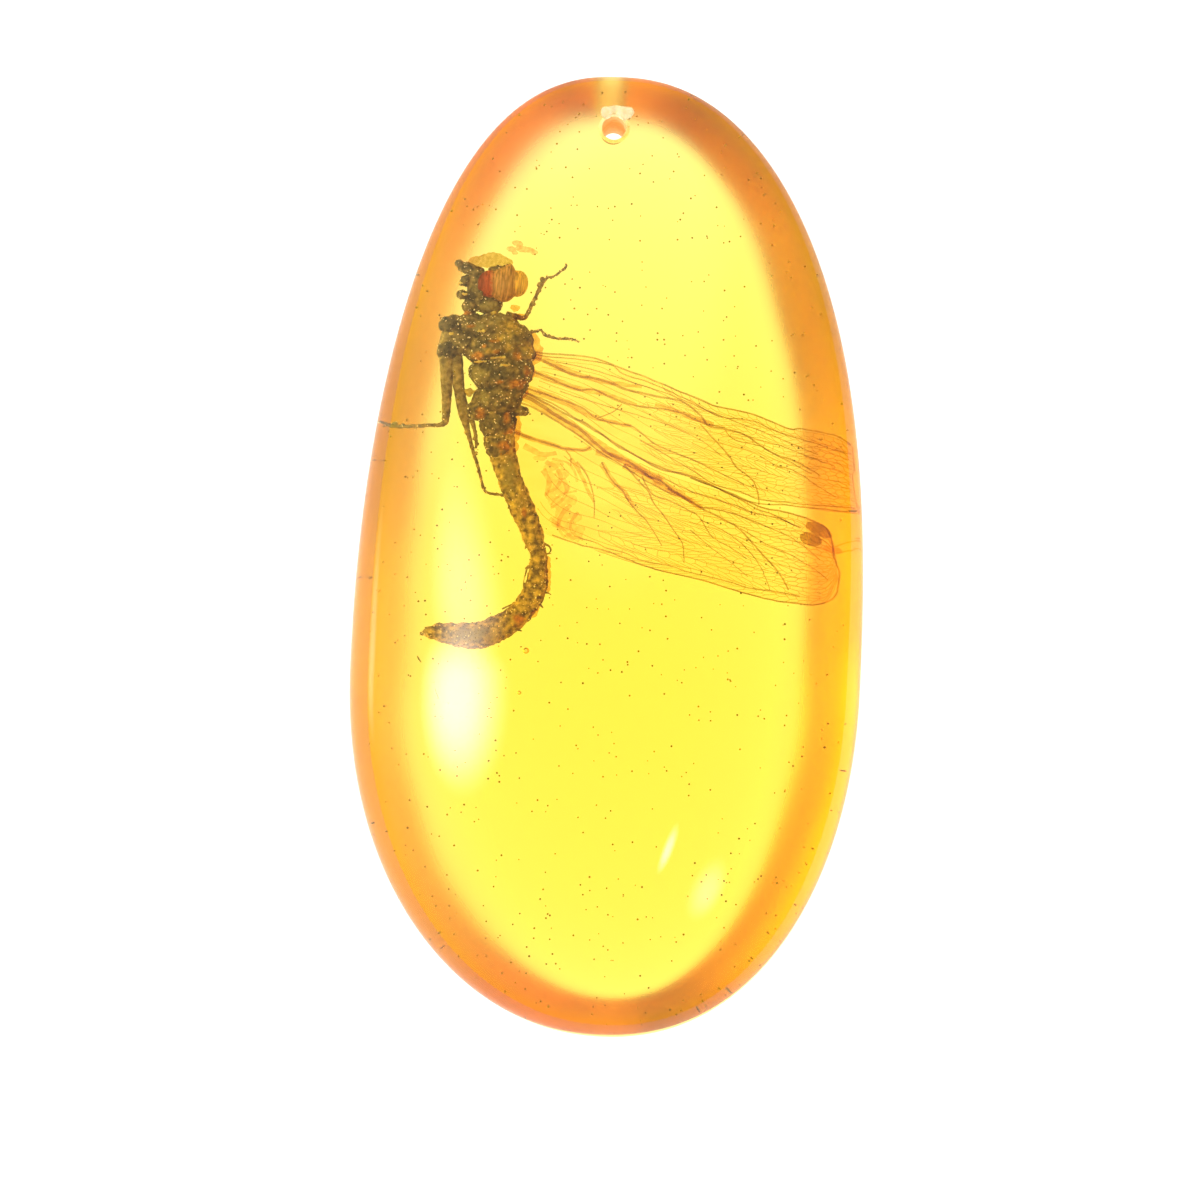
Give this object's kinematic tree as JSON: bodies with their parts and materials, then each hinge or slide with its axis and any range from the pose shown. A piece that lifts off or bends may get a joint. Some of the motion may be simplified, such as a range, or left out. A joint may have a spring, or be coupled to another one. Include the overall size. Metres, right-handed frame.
{
  "type": "insect in amber",
  "caption": "Egg-shaped drop of clear golden amber with a flat back and a small cord hole, and a dragonfly sealed in a pocket at its parting plane.",
  "frame": {"origin": "middle of the drop's outline, on the plane of its flat back", "axes": "+Y towards the drilled narrow end, +Z out of the domed front, +X to the right seen from the front"},
  "size_m": [0.0398, 0.075, 0.017],
  "materials": {
    "amber": "clear golden amber, polished to a high gloss",
    "insect": "dark brown dried insect with golden veined wings",
    "debris": "thin reddish flake of plant debris"
  },
  "bodies": {
    "root": {"amber_front": "amber", "amber_back": "amber", "dragonfly": "insect", "debris_flake": "debris"}
  },
  "joints": []
}
